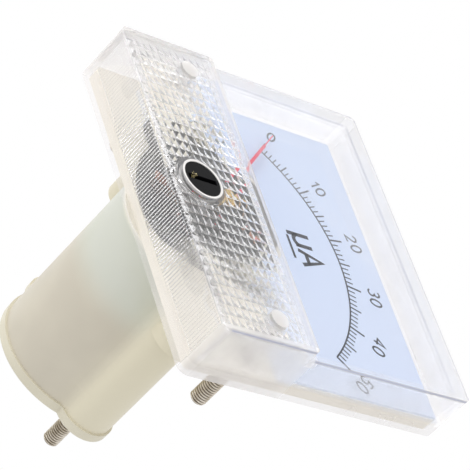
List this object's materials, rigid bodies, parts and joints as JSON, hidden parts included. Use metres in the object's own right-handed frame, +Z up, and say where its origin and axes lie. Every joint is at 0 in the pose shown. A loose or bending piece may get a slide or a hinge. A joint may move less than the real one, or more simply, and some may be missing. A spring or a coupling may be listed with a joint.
{
  "type": "analog panel meter",
  "caption": "Moving-coil panel meter with a clear front, a textured lower band, a zero adjuster and a lobed barrel with threaded studs behind the panel.",
  "frame": {"origin": "midway between the two mounting studs, on the pivot axis, in the plane where the flange meets the panel", "axes": "+X to the right of the dial as it is read, +Y out of the back along the studs and the barrel, +Z up the dial"},
  "size_m": [0.065, 0.0562, 0.056],
  "materials": {
    "clear_plastic": "clear gloss",
    "cream_plastic": "satin moulded",
    "black_plastic": "moulded",
    "dial_white": "satin printed",
    "dial_ink": "matte print",
    "nickel": "plated thread",
    "brass": "machined",
    "dark_iron": "oxidised",
    "magnet": "ground",
    "blackened": "blackened",
    "steel_screw": "plated",
    "aluminium": "plain",
    "copper": "enamelled wire",
    "bronze": "spring strip",
    "red_paint": "matte lacquer",
    "solder": "dull"
  },
  "bodies": {
    "case": {"front_cover": "clear_plastic", "base": "cream_plastic", "rear_cap": "cream_plastic", "dial_plate": "dial_white", "dial_scale": "dial_ink", "dial_screws": "steel_screw", "mounting_studs": "nickel", "terminal_studs": "nickel", "terminal_nuts": "nickel", "solder_tags": "brass", "movement_plate": "blackened", "movement_screws": "steel_screw", "yoke_ring": "dark_iron", "core_magnet": "magnet", "core_bracket": "brass", "bracket_screws": "steel_screw", "front_bridge": "blackened", "rear_bridge": "blackened", "bridge_screws": "steel_screw", "front_jewel_screw": "brass", "rear_jewel_screw": "brass", "rear_spring_tag": "brass", "rear_hairspring": "bronze"},
    "moving_coil": {"coil_former": "aluminium", "coil_winding": "copper", "pivots": "steel_screw", "pointer": "red_paint", "balance_weights": "solder"},
    "zero_lever": {"zero_lever": "brass", "front_hairspring": "bronze"},
    "zero_screw": {"zero_screw": "black_plastic"}
  },
  "joints": [
    {"name": "pointer_swing", "type": "hinge", "parent": "case", "child": "moving_coil", "pos_m": [0, 0, 0], "axis": [0, 1, 0], "range_deg": [-2, 96.5], "stiffness_Nm_per_rad": 0.0002},
    {"name": "zero_screw_turn", "type": "hinge", "parent": "case", "child": "zero_screw", "pos_m": [0, 0, -0.0065], "axis": [0, 1, 0], "range_deg": [-45, 45]},
    {"name": "zero_lever_swing", "type": "hinge", "parent": "case", "child": "zero_lever", "pos_m": [0, 0, 0], "axis": [0, 1, 0], "range_deg": [-6.5, 6.5]}
  ],
  "couplings": [
    {"joint": "zero_lever_swing", "follows": "zero_screw_turn", "ratio": -0.135}
  ]
}
